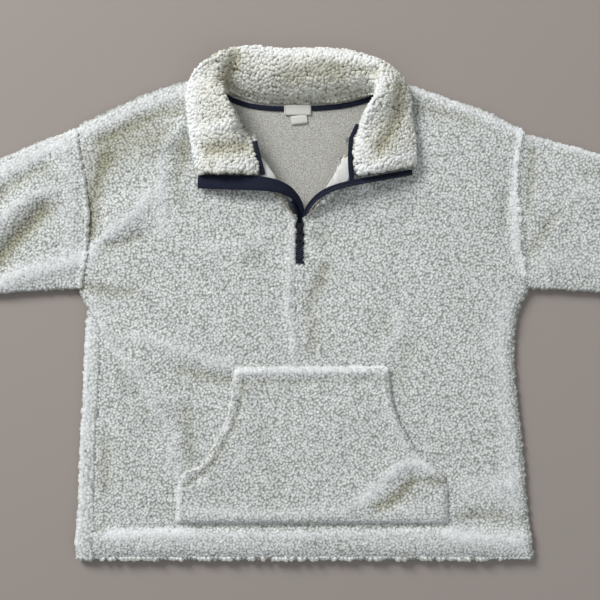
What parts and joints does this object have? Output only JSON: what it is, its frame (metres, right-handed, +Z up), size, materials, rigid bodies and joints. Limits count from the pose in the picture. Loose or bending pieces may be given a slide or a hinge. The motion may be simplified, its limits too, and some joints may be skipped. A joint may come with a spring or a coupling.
{
  "type": "sherpa fleece pullover",
  "caption": "Half-zip pullover in cream sherpa fleece with a fallen stand collar, navy zip tapes and a kangaroo pocket, laid out flat and face up",
  "frame": {"origin": "on the surface that the pullover lies on, under the body's centre line, on the underside of the back panel", "axes": "+X to the right of the picture along the two sleeves, +Y from the hem to the collar, +Z up out of the surface"},
  "size_m": [1.519, 0.6451, 0.0447],
  "materials": {
    "sherpa": "cream sherpa pile in small curls",
    "navy_tape": "navy woven tape",
    "navy_metal": "dark navy painted zinc",
    "label_cloth": "bare woven label"
  },
  "bodies": {
    "garment": {"back": "sherpa", "front": "sherpa", "sleeve_left": "sherpa", "sleeve_right": "sherpa", "collar": "sherpa", "pocket": "sherpa", "neck_tape": "navy_tape", "neck_tape_left": "navy_tape", "neck_tape_right": "navy_tape", "zip_guard": "navy_tape", "zip_tape_left": "navy_tape", "zip_tape_right": "navy_tape", "zip_chain": "navy_tape", "zip_slider": "navy_metal", "neck_label": "label_cloth", "size_tag": "label_cloth"},
    "pull_tab": {"zip_pull": "navy_metal"}
  },
  "joints": [
    {"name": "pull_hinge", "type": "hinge", "parent": "garment", "child": "pull_tab", "pos_m": [0, 0.0885, 0.0125], "axis": [-1, 0, 0], "range_deg": [0, 155]}
  ]
}
